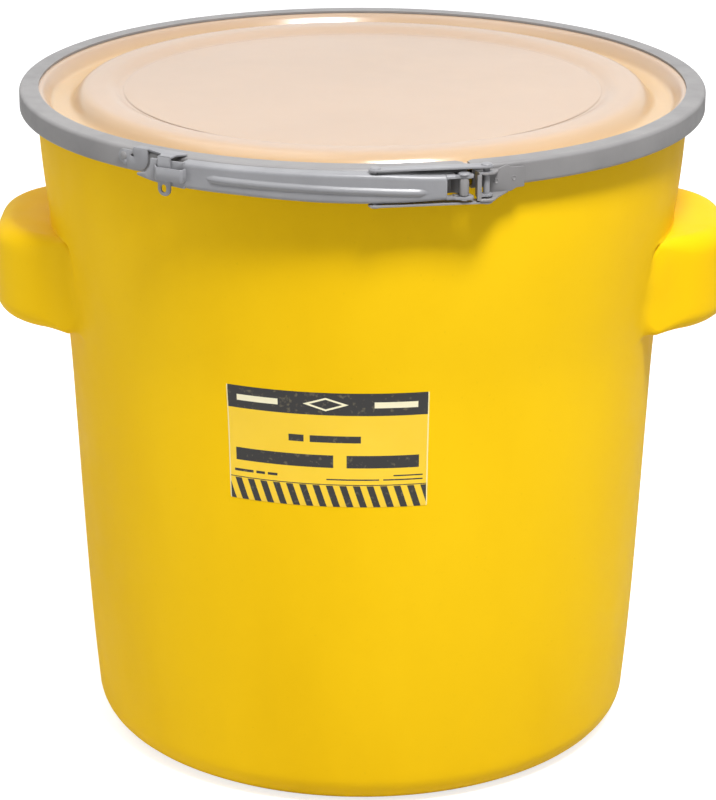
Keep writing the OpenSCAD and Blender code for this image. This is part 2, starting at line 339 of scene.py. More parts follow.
def natural(name):
    """The lid's uncoloured polyethylene, with painted light: the trough is tinted warmer where the
    yellow drum's light would come through its walls.
    """
    m, tree, shader = nodes_of(name)
    coords = tree.nodes.new("ShaderNodeTexCoord")
    flat = tree.nodes.new("ShaderNodeVectorMath")
    flat.operation = "MULTIPLY"
    flat.inputs[1].default_value = (1, 1, 0)
    tree.links.new(coords.outputs["Object"], flat.inputs[0])
    reach = tree.nodes.new("ShaderNodeVectorMath")
    reach.operation = "LENGTH"
    tree.links.new(flat.outputs[0], reach.inputs[0])
    share = tree.nodes.new("ShaderNodeMath")
    share.operation = "MULTIPLY"
    share.inputs[1].default_value = 4.0     # brings the lid's 0.26 m reach near 1
    tree.links.new(reach.outputs["Value"], share.inputs[0])
    # painted light: the trough's ring, about r 222 to 243 mm, gets a warm yellow base colour that
    # stands in for the yellow drum's light showing through the translucent lid
    plain, painted_glow = (0.44, 0.320, 0.231), (0.505, 0.345, 0.186)
    zones = ramp(tree, share.outputs[0], [(0.85, plain), (0.905, painted_glow), (0.96, painted_glow), (0.995, plain)])
    drift = ramp(tree, noise(tree, 5, 3), [(0.3, 0.96), (0.7, 1.04)])
    tree.links.new(mix(tree, 1.0, zones, drift, "MULTIPLY"), shader.inputs["Base Color"])
    tree.links.new(ramp(tree, noise(tree, 30, 4), [(0.3, 0.17), (0.7, 0.24)]),
                   shader.inputs["Roughness"])
    shader.inputs["Subsurface Weight"].default_value = 0.15
    shader.inputs["Subsurface Radius"].default_value = (1.0, 0.75, 0.5)
    shader.inputs["Subsurface Scale"].default_value = 0.006
    bump(tree, shader, [(noise(tree, 9, 2), 0.10, 0.0006), (noise(tree, 600, 2), 0.015, 0.0002)])
    return m


YELLOW = coloured("drum_plastic")
CREAM = natural("lid_plastic")
GREY = painted("ring_paint", (0.195, 0.189, 0.190), (0.236, 0.228, 0.227), (0.37, 0.365, 0.36))
STEEL = painted("lever_paint", (0.212, 0.212, 0.224), (0.262, 0.262, 0.274), (0.44, 0.44, 0.45),
                0.38)


def rubber():
    m, tree, shader = nodes_of("gasket_rubber")
    tree.links.new(ramp(tree, noise(tree, 300, 3), [(0.3, 0.012), (0.7, 0.03)]),
                   shader.inputs["Base Color"])
    shader.inputs["Roughness"].default_value = 0.75
    bump(tree, shader, [(noise(tree, 700, 2), 0.2, 0.0003)])
    return m


# ---------------------------------------------------------------- drum
RIM_Z = 516.6
BEAD_Z = 508.6
WALL_T = 4.0
CORNER = 27.0
BASE_R = 217.3
# the wall's outside: a slight taper, then a flare past the grips to the rim
WALL = [(CORNER, BASE_R), (60, 220.0), (110, 223.2), (171, 226.3), (258, 230.3), (310, 232.8),
        (345, 235.6), (390, 241.6), (430, 246.9), (455, 249.8), (480, 252.0), (520, 254.4)]
GRIP_OUT, GRIP_HALF, GRIP_ROUND = 288.4, 87.0, 64.0
GRIP_LOW, GRIP_HIGH, GRIP_EDGE = 344.0, 419.0, 15.0
# azimuth from a grip's middle at which its side has run out into the wall, by height
GRIP_END = [(344, 32.0), (352, 31.0), (365, 29.8), (389, 29.2), (405, 28.2), (413, 26.4),
            (419, 24.8)]


def wall_radius(z):
    """Radius of the wall's outside at a height, on a smooth curve through WALL."""
    for i in range(len(WALL) - 1):
        if z <= WALL[i + 1][0]:
            break
    (z1, r1), (z2, r2) = WALL[i], WALL[i + 1]
    z0, r0 = WALL[max(i - 1, 0)]
    z3, r3 = WALL[min(i + 2, len(WALL) - 1)]
    m1 = (r2 - r0) / (z2 - z0)
    m2 = (r3 - r1) / (z3 - z1)
    t = (z - z1) / (z2 - z1)
    return ((2 * t ** 3 - 3 * t ** 2 + 1) * r1 + (t ** 3 - 2 * t ** 2 + t) * m1 * (z2 - z1)
            + (3 * t ** 2 - 2 * t ** 3) * r2 + (t ** 3 - t ** 2) * m2 * (z2 - z1))


def grip_radius(side, z):
    """How far the grip reaches from the axis, side degrees from its middle."""
    side = abs(side)
    wall = wall_radius(z)
    end = table(z, GRIP_END)
    if side >= end:
        return wall
    cx, cy, corner = GRIP_OUT - GRIP_ROUND, GRIP_HALF - GRIP_ROUND, GRIP_ROUND
    # fillet tangent to the wall at end and to the round corner
    ux, uy = cos(radians(end)), sin(radians(end))
    dx, dy = wall * ux - cx, wall * uy - cy
    fillet = (dx * dx + dy * dy - corner ** 2) / (2 * (corner - dx * ux - dy * uy))
    fx, fy = (wall + fillet) * ux, (wall + fillet) * uy
    share = corner / (corner + fillet)
    tx, ty = lerp(cx, fx, share), lerp(cy, fy, share)
    s = radians(side)
    if side > degrees(atan2(ty, tx)):
        along = fx * cos(s) + fy * sin(s)
        return along - sqrt(max(fillet ** 2 - (hypot(fx, fy) ** 2 - along ** 2), 0))
    if GRIP_OUT * tan(s) <= cy:
        return GRIP_OUT / cos(s)
    along = cx * cos(s) + cy * sin(s)
    return along + sqrt(max(corner ** 2 - (hypot(cx, cy) ** 2 - along ** 2), 0))


def grip_profile(side, off):
    """Section of the wall through the grip's height, low to high, off inwards from the outside."""
    low, high = GRIP_LOW + off, GRIP_HIGH - off
    start, stop = GRIP_LOW - 14, GRIP_HIGH + 10
    reach = grip_radius(side, 382)
    depth = reach - wall_radius(382)
    edge = min(GRIP_EDGE, max(depth, 0.5) * 0.6) - off * 0.6
    points = []

    def out(z):
        return grip_radius(side, z) - off

    inner_low, inner_high = wall_radius(low) - off, wall_radius(high) - off
    points += [(wall_radius(z) - off, z) for z in spread(start, low - 2, 4)]
    points += [(r, low) for r in spread(inner_low + 1, out(low + edge) - edge, 7)]
    for a in spread(10, 90, 7):
        z = low + edge * (1 - cos(radians(a)))
        points.append((out(z) - edge * (1 - sin(radians(a))), z))
    points += [(out(z), z) for z in spread(low + edge, high - edge, 9)[1:]]
    for a in spread(90, 10, 7)[1:]:
        z = high - edge * (1 - cos(radians(a)))
        points.append((out(z) - edge * (1 - sin(radians(a))), z))
    points += [(r, high) for r in spread(out(high - edge) - edge, inner_high + 1, 7)]
    points += [(wall_radius(z) - off, z) for z in spread(high + 2, stop, 4)]
    # where the grip has run out, the same points lie evenly up the plain wall
    flat = [(wall_radius(z) - off, z) for z in spread(start, stop, len(points) - 1)]
    w = smoothstep(depth, 0.0, 9.0)
    return [(lerp(f[0], p[0], w), lerp(f[1], p[1], w)) for f, p in zip(flat, points)]


def drum_profile(azimuth):
    """The shell's closed section at an azimuth, up the outside and down the inside."""
    side = (azimuth - 90) % 180
    side = side if side < 90 else side - 180
    flat = BASE_R - CORNER
    outer = [(r, 0.0) for r in spread(0, flat, 6)[:-1]]
    for a in spread(0, 90, 10):
        outer.append((flat + CORNER * sin(radians(a)), CORNER - CORNER * cos(radians(a))))
    outer += [(wall_radius(z), z) for z in spread(CORNER, GRIP_LOW - 14, 22)[1:-1]]
    outer += grip_profile(side, 0.0)
    outer += [(wall_radius(z), z) for z in spread(GRIP_HIGH + 10, BEAD_Z - 3, 10)[1:]]
    rim = rounded([(wall_radius(BEAD_Z) - 0.1, BEAD_Z - 3), (wall_radius(BEAD_Z), BEAD_Z),
                   (262, BEAD_Z), (262, RIM_Z), (250, RIM_Z), (249.6, 500)],
                  [0, 1.5, 1.6, 2.2, 1.5, 0], 4, closed=False)
    outer += rim[1:]
    inner = [(wall_radius(z) - WALL_T, z) for z in spread(GRIP_HIGH + 14, 494, 8)]
    body = grip_profile(side, WALL_T)
    lower = [(wall_radius(z) - WALL_T, z) for z in spread(CORNER, GRIP_LOW - 18, 16)]
    bend = CORNER - WALL_T
    corner = [(flat + bend * sin(radians(a)), CORNER - bend * cos(radians(a)))
              for a in spread(0, 90, 8)]
    floor = [(r, WALL_T) for r in spread(0, flat, 6)[:-1]]
    inside = floor + corner + lower[1:] + body + inner
    return outer + inside[::-1]


def build_drum():
    # sections stand closer together where a grip's side curves
    azimuths = []
    a = 0.0
    while a < 360 - 1e-6:
        azimuths.append(a)
        side = (a - 90) % 180
        side = min(side, 180 - side)
        a += 0.75 if 12 < side < 36 else 1.5
    bm = bmesh.new()
    rings = [[around(a, r, z) for r, z in drum_profile(a)] for a in azimuths]
    add_grid(bm, rings, close_path=True)
    obj = finish_mesh("drum_shell", bm, YELLOW, 50)
    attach(obj, "drum")
    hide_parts("drum_body")
    return obj


# ---------------------------------------------------------------- lid
def build_lid():
    """Flange, trough, ridge and sunken disc, turned from one section."""
    # the flange's top and the sheet's thickness
    f, t = 522.0, 3.0
    top = [(262.5, f - 0.9)] + spline(
        [(261.4, f - 0.05), (256, f), (251.6, f), (248.6, f - 1.2), (245.2, f - 6.0), (242.2, f - 10.3),
         (238.0, f - 11.6), (231.0, f - 11.9), (226.4, f - 10.4), (221.5, f - 4.2), (217.4, f - 0.7),
         (212.6, f + 0.75), (206, f + 1.0), (199.5, f + 0.7), (194.5, f - 0.6), (189.6, f - 2.8),
         (186.4, f - 3.5)], 5)
    disc = spline([(185.4, f - 3.45), (183.0, f - 2.95), (150, f - 2.35), (90, f - 1.9), (40, f - 1.75),
                   (0, f - 1.7)], 5)
    under = spline([(0, f - 1.7 - t), (90, f - 1.9 - t), (183, f - 3.2 - t), (190, f - 3.2 - t),
                    (199, f - 0.6 - t), (206, f + 0.4 - t), (213, f - 0.2 - t), (218, f - 3.4 - t),
                    (223.5, f - 11 - t), (230, f - 11.9 - t), (240, f - 11.7 - t),
                    (244.8, f - 9.5 - t)], 4)
    under += [(249.5, f - t - 2.4), (252.0, f - t), (260.5, f - t), (262.2, f - t + 0.7)]
    loop = top + disc + under
    bm = bmesh.new()
    rings = [[around(a, r, z) for r, z in loop] for a in spread(0, 360, 288)[:-1]]
    add_grid(bm, rings, close_ring=True, close_path=True)
    obj = finish_mesh("lid_shell", bm, CREAM, 60)
    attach(obj, "lid_body")
    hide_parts("lid")


# ---------------------------------------------------------------- closing ring
TOP, RING_R, RING_T, RING_LOW = 524.0, 267.0, 1.6, 506.5
LIP = 252.0
# azimuths of the band's split, of half its gap, and of the hinges that it bends about
SPLIT, GAP = 16.45, 0.45
HINGES = [SPLIT - 72 * k for k in (1, 2, 3, 4)]
BEND_REACH = 11


def ring_loop(lip):
    """The band's C section, from the edge of its top lip round to its lower lip."""
    half = RING_T / 2
    path = rounded([(lip, TOP - half), (RING_R - half, TOP - half),
                    (RING_R - half, RING_LOW + half), (255.4, RING_LOW + half)],
                   [0, 2.2, 2.2, 0], 6, closed=False)
    return sheet_loop(path, RING_T)


def ring_piece(name, a0, a1, notch=0):
    """Part of the band from azimuth a0 to a1; notch 1 or -1 cuts back its lip at a1 or at a0."""
    bm = bmesh.new()
    count = max(int(abs(a1 - a0)), 4)
    stations = spread(a0, a1, count)
    if notch:
        end = a1 if notch > 0 else a0
        stations = sorted(set(stations + [end - notch * k for k in (0.3, 0.6, 0.9, 1.2)]))
    rings = []
    for a in stations:
        lip = LIP
        if notch:
            lip += 3.6 * (1 - smoothstep(abs(a - (a1 if notch > 0 else a0)), 0.0, 1.1))
        rings.append([around(a, r, z) for r, z in ring_loop(lip)])
    add_grid(bm, rings, close_ring=True, caps=True)
    obj = finish_mesh(name, bm, GREY, 40)
    return obj


def build_ring():
    bodies = ["band_left_2", "band_left_1", "band_back", "band_right_1", "band_right_2"]
    nodes = ["ring_left_2", "ring_left_1", "ring_back", "ring_right_1", "ring_right_2"]
    first = SPLIT - GAP
    last = SPLIT + GAP - 360
    # the pieces meet about halfway between hinges
    mids = [first - 35.8] + [h - 36 for h in HINGES[:-1]] + [last + 35.8]
    piece = ring_piece("ring_end_left", mids[0], first, 1)
    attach(piece, bodies[0])
    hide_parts(nodes[0])
    for i, hinge in enumerate(HINGES):
        piece = ring_piece("ring_run_%d" % (i + 1), mids[i + 1], mids[i])
        around(hinge + BEND_REACH, RING_R, 515)
        around(hinge - BEND_REACH, RING_R, 515)
        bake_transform(piece)
        if i < 3:
            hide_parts(nodes[i + 1])
    piece = ring_piece("ring_end_right", last, mids[-1], -1)
    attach(piece, bodies[4])
    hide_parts(nodes[4])


# ---------------------------------------------------------------- label
# the label's left and right azimuths, bottom and top
LABEL = (-25.0, 12.2, 255.5, 346.5)


def label_material():
    m, tree, shader = nodes_of("label_vinyl")
    uv = tree.nodes.new("ShaderNodeUVMap")
    uv.uv_map = "print"
    split = tree.nodes.new("ShaderNodeSeparateXYZ")
    tree.links.new(uv.outputs[0], split.inputs[0])
    u, v = split.outputs[0], split.outputs[1]

    def math(op, a, b=0.0, c=0.0):
        n = tree.nodes.new("ShaderNodeMath")
        n.operation = op
        for socket, value in zip(n.inputs, (a, b, c)):
            if isinstance(value, (int, float)):
                socket.default_value = value
            else:
                tree.links.new(value, socket)
        return n.outputs[0]

    def bar(u0, u1, v0, v1):
        inside_u = math("COMPARE", u, (u0 + u1) / 2, (u1 - u0) / 2)
        inside_v = math("COMPARE", v, (v0 + v1) / 2, (v1 - v0) / 2)
        return math("MULTIPLY", inside_u, inside_v)

    def any_of(parts):
        total = parts[0]
        for p in parts[1:]:
            total = math("MAXIMUM", total, p)
        return total

    band = bar(-1, 2, 0.805, 2)
    rule = bar(-1, 2, 0.192, 0.2)
    lean = math("ADD", math("MULTIPLY", u, 15.0), math("MULTIPLY", v, 2.9))
    stripes = math("MULTIPLY", math("LESS_THAN", math("FRACT", lean), 0.52),
                   bar(-1, 2, -1, 0.188))
    heading = [bar(0.04, 0.535, 0.345, 0.455), bar(0.60, 0.955, 0.345, 0.455),
               bar(0.315, 0.39, 0.565, 0.625), bar(0.42, 0.67, 0.565, 0.625)]
    small = [bar(0.03, 0.13, 0.245, 0.268), bar(0.145, 0.19, 0.245, 0.268),
             bar(0.205, 0.255, 0.245, 0.268), bar(0.83, 0.975, 0.272, 0.284),
             bar(0.50, 0.76, 0.236, 0.248), bar(0.78, 0.975, 0.236, 0.248)]
    dark = any_of([band, rule, stripes] + heading + small)
    gem = math("ADD", math("MULTIPLY", math("ABSOLUTE", math("SUBTRACT", u, 0.5)), 9.0),
               math("MULTIPLY", math("ABSOLUTE", math("SUBTRACT", v, 0.90)), 17.0))
    lozenge = math("MULTIPLY", math("LESS_THAN", gem, 1.0), math("GREATER_THAN", gem, 0.72))
    pale = any_of([bar(0.055, 0.265, 0.873, 0.925), bar(0.735, 0.945, 0.873, 0.925), lozenge])
    edge = any_of([bar(-1, 0.006, -1, 2), bar(0.994, 2, -1, 2)])

    ink_wear = ramp(tree, noise(tree, 260, 4), [(0.30, (0.10, 0.085, 0.05)),
                                                (0.42, (0.020, 0.018, 0.017))])
    field = ramp(tree, noise(tree, 18, 3), [(0.3, (0.86, 0.56, 0.010)), (0.7, (0.91, 0.60, 0.018))])
    colour = mix(tree, dark, field, ink_wear)
    colour = mix(tree, pale, colour, (0.86, 0.80, 0.55))
    colour = mix(tree, edge, colour, (0.88, 0.76, 0.36))
    tree.links.new(colour, shader.inputs["Base Color"])
    tree.links.new(ramp(tree, noise(tree, 50, 3), [(0.3, 0.3), (0.7, 0.42)]),
                   shader.inputs["Roughness"])
    shader.inputs["Coat Weight"].default_value = 0.15
    bump(tree, shader, [(noise(tree, 30, 2), 0.1, 0.0004), (noise(tree, 800, 2), 0.05, 0.0002)])
    return m


def build_label():
    a0, a1, z0, z1 = LABEL
    bm = bmesh.new()
    layer = bm.loops.layers.uv.new("print")
    us, vs = spread(0, 1, 60), spread(0, 1, 30)
    sheets = []
    for proud in (0.55, 0.05):
        rows = []
        for v in vs:
            z = lerp(z0, z1, v)
            row = []
            for u in us:
                # round off the corners
                du = max(0.02 - min(u, 1 - u), 0) / 0.02
                dv = max(0.04 - min(v, 1 - v), 0) / 0.04
                pull = 1 - 0.28 * max(hypot(du, dv) - 1, 0)
                lift = proud - (0.35 if proud > 0.3 and (u in (0, 1) or v in (0, 1)) else 0)
                row.append(bm.verts.new(around(lerp((a0 + a1) / 2, lerp(a0, a1, u), 0.98 + 0.02 * pull),
                                               wall_radius(z) + lift,
                                               lerp((z0 + z1) / 2, z, 0.98 + 0.02 * pull))))
            rows.append(row)
        sheets.append(rows)

    def face(corners, at):
        f = bm.faces.new(corners)
        for loop, (u, v) in zip(f.loops, at):
            loop[layer].uv = (u, v)

    front, back = sheets
    for j in range(len(vs) - 1):
        for i in range(len(us) - 1):
            at = [(us[i], vs[j]), (us[i + 1], vs[j]), (us[i + 1], vs[j + 1]), (us[i], vs[j + 1])]
            cells = [(j, i), (j, i + 1), (j + 1, i + 1), (j + 1, i)]
            face([front[a][b] for a, b in cells], at)
            face([back[a][b] for a, b in cells[::-1]], at[::-1])
    border = [(0, i) for i in range(len(us))] + [(j, len(us) - 1) for j in range(1, len(vs))]
    border += [(len(vs) - 1, i) for i in range(len(us) - 2, -1, -1)]
    border += [(j, 0) for j in range(len(vs) - 2, 0, -1)]
    for (j0, i0), (j1, i1) in zip(border, border[1:] + border[:1]):
        at = [(us[i0], vs[j0]), (us[i1], vs[j1]), (us[i1], vs[j1]), (us[i0], vs[j0])]
        face([front[j0][i0], front[j1][i1], back[j1][i1], back[j0][i0]], at)
    obj = finish_mesh("drum_label", bm, label_material(), 60)
    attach(obj, "drum")
    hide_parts("label")


# ---------------------------------------------------------------- lever, links and lugs
PLATE = 1.6
# pins as (azimuth, radius): links to lever, lever to left lug, links to right lug
P1, P2, P3 = (1.9, 273.2), (15.0, 276.2), (18.5, 275.0)
LEVER_LOW, LEVER_TOP, LEVER_R = 502.2, 520.5, 277.4
# the channel's underside and top, which is deeper over the ring than at the pivot
LEVER_UNDER = [(-27, 503.7), (-18, 503.1), (-6, 501.4), (0, 501.1), (6, 501.4), (12, 502.2)]
LEVER_OVER = [(-27, 523.0), (-1, 522.9), (4, 522.3), (9, 521.0), (12, 520.5), (14, 520.5)]
# undersides of the two links
LINK_UP, LINK_DN = 524.3, 498.6
# azimuth and height of the latch's rivet, azimuth of its arm, radius of its flat's face
LATCH, LATCH_Z, ARM, WEB_R = -39.6, 517.5, -30.2, 268.6


def xy(p):
    """A point (azimuth, radius) in plan."""
    a = radians(p[0])
    return Vector((p[1] * sin(a), -p[1] * cos(a)))


def lever_section(azimuth):
    """Middle of the channel's sheet from the top flange's edge round to the bottom flange's."""
    half = PLATE / 2
    foot, web = 268.2, LEVER_R - half
    low, top = table(azimuth, LEVER_UNDER) + half, table(azimuth, LEVER_OVER) - half
    bend_top = table(azimuth, [(-20, 2.0), (4, 2.4), (13, 3.6)])
    bend_low = table(azimuth, [(-20, 2.2), (2, 1.9), (13, 2.6)])
    corner = rounded([(foot, top), (web, top), (web, low), (foot, low)],
                     [0, bend_top, bend_low, 0], 6, closed=False)
    # the web between its bends, pushed out where the rib is pressed
    up = [p for p in corner if p[1] > 511]
    down = [p for p in corner if p[1] <= 511]
    zs = spread(up[-1][1], down[0][1], 22)[1:-1]
    middle = table(azimuth, [(-24, 513.4), (-9, 511.9), (1, 510.4), (9, 508.6)])
    reach = min(smoothstep(azimuth, -23.5, -21.9), 1 - smoothstep(azimuth, 8.2, 9.8))
    rib = []
    for z in zs:
        x = abs(z - middle) / (2.9 * max(reach, 0.05) ** 0.5)
        rise = (1 - x * x) ** 2 * 1.75 if x < 1 else 0.0
        rib.append((web + rise * reach, z))
    return up + rib + down


def lever_stations():
    """Azimuths of the channel's sections, close together at the rib's ends."""
    return (spread(-27.3, -25, 4) + spread(-25, -21.5, 14)[1:] + spread(-21.5, 7, 57)[1:]
            + spread(7, 10.5, 14)[1:] + spread(10.5, 12.4, 4)[1:])


def build_lever():
    """U channel with an embossed rib, finger lobe, window, pivot ears and the latch's strap."""
    bm = bmesh.new()
    rings = [[around(a, r, z) for r, z in sheet_loop(lever_section(a), PLATE)]
             for a in lever_stations()]
    add_grid(bm, rings, close_ring=True, caps=True)
    # rounded finger lobe at the free end
    lobe = rounded([(19.5, 503.6), (2, 504.7), (-9, 506.0), (-21.4, 508.2), (-21.6, 510.0),
                    (-13.5, 511.4), (-9.8, 516.5), (-9.2, 522.6), (19.5, 522.8)],
                   [0, 6, 6, 0.9, 0.8, 6, 6, 1.5, 0], 5)
    add_plate(bm, lobe, [], LEVER_R - PLATE, LEVER_R, wrapped(-31, LEVER_R), 0.4, 2.5)
    # strips above and below the window, and the ears
    for level, turn in ((LEVER_TOP, -1), (LEVER_LOW, 1)):
        half = PLATE / 2
        bend = 2.0
        path = rounded([(268.2, level + turn * half), (LEVER_R - half, level + turn * half),
                        (LEVER_R - half, level + turn * 2.7)], [0, bend, 0], 6, closed=False)
        strip = [[around(a, r, z) for r, z in sheet_loop(path, PLATE)]
                 for a in spread(12.3, 14.2, 4)]
        add_grid(bm, strip, close_ring=True, caps=True)
        low, high = sorted((level, level + turn * 2.7))
        ear = rounded(plan((13.6, 268.9), (16.2, 269.6), (16.5, 279.6), (15.2, 279.6),
                           (13.6, 277.3)), [0.2, 4, 4.2, 3, 0.2], 6)
        add_plate(bm, ear, [circle(*xy(P2), 2.48, 24)], low, high, level_plate, 0.6)
    # strap pressed out of the web, that the latch arm drops through
    path = rounded([(-15.4, 275.9), (-12.6, 279.8), (-9.6, 282.7), (10.0, 282.7), (11.0, 281.6),
                    (11.0, 275.9)], [0, 2.6, 2.6, 1.6, 1.2, 0], 5, closed=False)
    loop = sheet_loop(path, 1.4)
    strap = []
    for z, d in ((508.9, 0.25), (509.2, 0), (518.2, 0), (518.5, 0.25)):
        ring = inset(loop if signed_area(loop) > 0 else loop[::-1], d)
        strap.append([around(-29.05 + degrees(x / 280), r, z) for x, r in ring])
    add_grid(bm, strap, close_ring=True, caps=True)
    obj = finish_mesh("lever_channel", bm, STEEL, 40)
    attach(obj, "lever_body")
    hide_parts("lever")


def domed(z, r, h):
    """Profile of a rivet head that stands up (h above 0) or hangs down from z."""
    return [(r, z), (r * 0.99, z + 0.35 * h), (r * 0.9, z + 0.65 * h), (r * 0.68, z + 0.88 * h),
            (r * 0.36, z + 0.98 * h), (0, z + h)]


def build_pins():
    p = xy(P2)
    bm = bmesh.new()
    lower = domed(LEVER_LOW, 3.6, -0.6)[::-1]
    add_turned(bm, p, lower + [(2.5, LEVER_LOW), (2.5, LEVER_TOP)] + domed(LEVER_TOP, 4.4, 1.5))
    obj = finish_mesh("pivot_rivet", bm, STEEL, 50)
    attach(obj, "lever_body")
    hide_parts("lever_pivot_pin")

    p = xy(P1)
    bm = bmesh.new()
    up = LINK_UP + PLATE
    inside = LEVER_TOP - PLATE
    add_turned(bm, p, domed(inside, 2.9, -1.2)[::-1] + [(2, inside), (2, up)] + domed(up, 4.0, 1.4))
    inside = LEVER_LOW + PLATE
    add_turned(bm, p, domed(LINK_DN, 3.8, -1.0)[::-1] + [(2, LINK_DN), (2, inside)]
               + domed(inside, 2.9, 1.2))
    obj = finish_mesh("link_rivet_heads", bm, STEEL, 50)
    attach(obj, "link_body")
    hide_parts("link_rivets")

    p = xy(P3)
    bm = bmesh.new()
    add_turned(bm, p, domed(LINK_DN, 3.8, -1.0)[::-1] + [(2.4, LINK_DN), (2.4, up)]
               + domed(up, 4.0, 1.4))
    obj = finish_mesh("link_pin_body", bm, STEEL, 50)
    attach(obj, "link_body")
    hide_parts("link_pin")


def build_links():
    """Two flat links with round ends, above and below the lever."""
    a, b = xy(P1), xy(P3)
    d = (b - a).normalized()
    turn = atan2(d.y, d.x)
    outline = []
    for centre, start in ((b, -90), (a, 90)):
        for k in range(17):
            t = turn + radians(start + 180 * k / 16)
            outline.append((centre.x + 4.8 * cos(t), centre.y + 4.8 * sin(t)))
    holes = [circle(a.x, a.y, 1.98, 24), circle(b.x, b.y, 2.38, 24)]
    for name, z in (("link_top", LINK_UP), ("link_bottom", LINK_DN)):
        bm = bmesh.new()
        add_plate(bm, outline, holes, z, z + PLATE, level_plate, 0.4)
        obj = finish_mesh(name + "_plate", bm, STEEL, 40)
        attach(obj, "link_body")
        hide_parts(name)


def plan(*points):
    """Points (azimuth, radius) as an outline in plan."""
    return [tuple(xy(p)) for p in points]


def add_pip(bm, azimuth, r, z, profile):
    """A small round mark pressed in a sheet: profile is (radius, height above r) from the rim in."""
    rows = [[around(azimuth + degrees(x / r), r + h, z + y) for x, y in circle(0, 0, radius, 20)]
            for radius, h in profile]
    rings = add_grid(bm, rows, close_ring=True)
    bm.faces.new(rings[-1])


def build_latch():
    """Flat on the band, neck folded over the band's top, arm and eye down in front."""
    bm = bmesh.new()
    # the flat that turns on the rivet; its top right corner is folded back over the band
    flat = rounded([(-5.2, 522.2), (-5.2, 512.4), (3.0, 511.8), (3.4, 508.9), (22.4, 508.9),
                    (22.4, 525.4), (9.6, 525.4), (8.4, 522.4)],
                   [4.8, 4.6, 1.5, 1.0, 8.5, 0.4, 1.0, 1.5], 6)
    slot = rounded([(5.6, 518.7), (9.4, 517.8), (9.4, 520.4)], 0.5, 3)
    add_plate(bm, flat, [slot], 267.2, 268.7, wrapped(LATCH, 268.0), 0.3)
    neck = rounded(plan((-37.35, 268.5), (-37.2, 262.4), (-28.2, 262.4), (-27.95, 265.5),
                        (-29.1, 270.5), (-29.1, 279.3), (-31.3, 279.3), (-31.4, 272.2),
                        (-34.8, 267.6), (-34.8, 268.5)),
                   [0.3, 2.0, 1.5, 1.5, 3.0, 0.3, 0.3, 5.0, 2.0, 0.2], 6)
    add_plate(bm, neck, [], 524.05, 525.5, level_plate, 0.3)
    arm = rounded([(-5.35, 525.5), (-5.35, 496.8), (5.35, 496.8), (5.35, 525.5)],
                  [0.2, 5.34, 5.34, 0.2], 10)
    eye = rounded([(-2.6, 499.4), (1.7, 499.4), (1.7, 505.2), (-2.6, 505.2)], 2.1, 6)
    add_plate(bm, arm, [eye], 277.85, 279.35, wrapped(ARM, 279.0), 0.3)
    add_pip(bm, LATCH + 0.15, WEB_R, LATCH_Z - 4, [(2.5, -0.1), (2.2, 0.25), (1.4, 0.5), (0.5, 0.55)])
    obj = finish_mesh("latch_sheet", bm, STEEL, 40)
    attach(obj, "latch_body")
    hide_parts("latch_plate")

    bm = bmesh.new()
    add_pip(bm, LATCH, WEB_R, LATCH_Z, [(3.1, 0.2), (3.05, 0.45), (2.5, 0.85),
                                      (1.5, 1.1), (0.5, 1.15)])
    obj = finish_mesh("latch_rivet_head", bm, GREY, 50)
    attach(obj, "band_left_2")
    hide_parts("latch_rivet")


def build_left_lug():
    """Plate on the band, with an arm out to the knuckle round the lever's pivot."""
    bm = bmesh.new()
    plate = [(-13.6, 505.2), (14.2, 505.2), (14.2, 517.5), (-13.6, 517.5)]
    add_plate(bm, rounded(plate, 1.0, 3), [], 266.9, 268.5, wrapped(12.3, 268.5), 0.3)
    arm = plan((13.3, 267.6), (15.2, 267.6), (15.5, 273.1), (14.4, 273.1))
    add_plate(bm, rounded(arm, 0.4, 2), [], 505.6, 517.5, level_plate, 0.3)
    add_plate(bm, circle(*xy(P2), 3.4, 32), [circle(*xy(P2), 2.75, 32)], 505.6, 517.5,
              level_plate, 0.2)
    obj = finish_mesh("left_lug_sheet", bm, GREY, 40)
    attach(obj, "band_left_2")
    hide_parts("left_lug")


def build_right_lug():
    """Plate on the band, two ears that hold the link pin, and the sheet joining them in front."""
    bm = bmesh.new()
    plate = rounded([(-15.5, 503.0), (-15.5, 519.6), (-8.0, 519.2), (1.4, 522.3), (5.5, 520.6),
                     (15.7, 520.0), (15.7, 505.2), (9.6, 505.2), (5.0, 503.0)],
                    [0.5, 0.5, 3, 3, 3, 1.2, 1.2, 2, 1], 5)
    add_plate(bm, plate, [], 266.9, 268.7, wrapped(22.0, 268.9), 0.35)

    def ear(points, radii, z, fall):
        def place(x, y, level):
            out = max(hypot(x, y) - 269.5, 0.0)
            return Vector((x, y, level - fall * out)) * MM
        add_plate(bm, rounded(plan(*points), radii, 6), [circle(*xy(P3), 2.7, 24)],
                  z - PLATE / 2, z + PLATE / 2, place, 0.35)

    ear([(17.3, 267.2), (22.9, 267.2), (20.4, 275.5), (19.2, 281.0), (17.0, 280.2)],
        [0.5, 0.5, 3, 3.5, 3.0], 502.9, 0.16)
    ear([(17.6, 267.2), (21.2, 267.2), (20.2, 276.0), (19.2, 280.6), (17.4, 280.2)],
        [0.5, 0.5, 3, 3.5, 3.0], 519.6, -0.07)
    wall = rounded([(-1.6, 501.2), (1.6, 501.2), (1.6, 519.6), (-1.6, 519.6)], 0.3, 3)
    add_plate(bm, wall, [], 278.2, 279.6, wrapped(17.15, 279.0), 0.3)
    for azimuth, z in ((20.6, 511.4), (23.55, 512.5)):
        add_pip(bm, azimuth, 268.7, z, [(2.0, -0.1), (1.8, 0.3), (1.4, 0.35), (1.0, 0.02),
                                        (0.5, 0.0)])
    obj = finish_mesh("right_lug_sheet", bm, GREY, 40)
    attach(obj, "band_right_2")
    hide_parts("right_lug")


